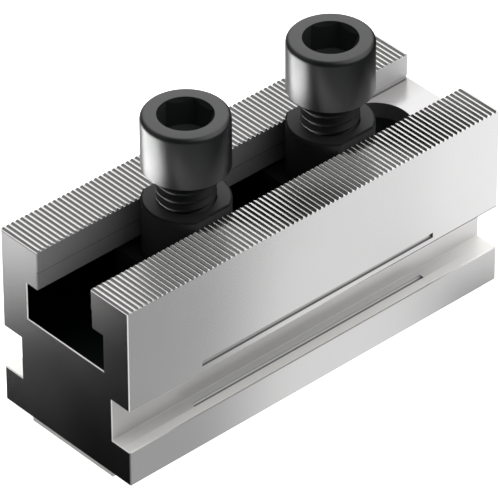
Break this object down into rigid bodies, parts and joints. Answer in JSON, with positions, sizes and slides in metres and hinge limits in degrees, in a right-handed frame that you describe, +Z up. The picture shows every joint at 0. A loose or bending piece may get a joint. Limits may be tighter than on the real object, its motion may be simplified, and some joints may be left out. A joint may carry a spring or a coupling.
{
  "type": "chuck base jaw",
  "caption": "Base jaw of a lathe power chuck: serrated steel bar with a T-slot, side guide grooves and an oblique rack, holding T-nuts with cap screws for a top jaw.",
  "frame": {"origin": "under the middle of the bar, on the plane of the rack's teeth, which the jaw stands on", "axes": "+X along the bar from the open end of the T-slot to its closed end, +Y across the bar, +Z up out of the serrated top, along the screws"},
  "size_m": [0.132, 0.05, 0.0889],
  "materials": {
    "ground_steel": "case-hardened steel, ground bright",
    "black_oxide_nut": "steel, black oxide, dull",
    "black_oxide_screw": "alloy steel, black oxide, satin"
  },
  "bodies": {
    "jaw": {"base_jaw": "ground_steel"},
    "front_nut": {"front_t_nut": "black_oxide_nut"},
    "rear_nut": {"rear_t_nut": "black_oxide_nut"},
    "front_bolt": {"front_screw": "black_oxide_screw"},
    "rear_bolt": {"rear_screw": "black_oxide_screw"}
  },
  "joints": [
    {"name": "front_nut_slide", "type": "slide", "parent": "jaw", "child": "front_nut", "axis": [1, 0, 0], "range_m": [-0.0285, 0.0115]},
    {"name": "rear_nut_slide", "type": "slide", "parent": "jaw", "child": "rear_nut", "axis": [1, 0, 0], "range_m": [-0.0115, 0.0075]},
    {"name": "front_screw_turn", "type": "hinge", "parent": "front_nut", "child": "front_bolt", "pos_m": [-0.0235, 0, 0.0624], "axis": [0, 0, 1], "continuous": true},
    {"name": "rear_screw_turn", "type": "hinge", "parent": "rear_nut", "child": "rear_bolt", "pos_m": [0.0276, 0, 0.0624], "axis": [0, 0, 1], "continuous": true}
  ]
}
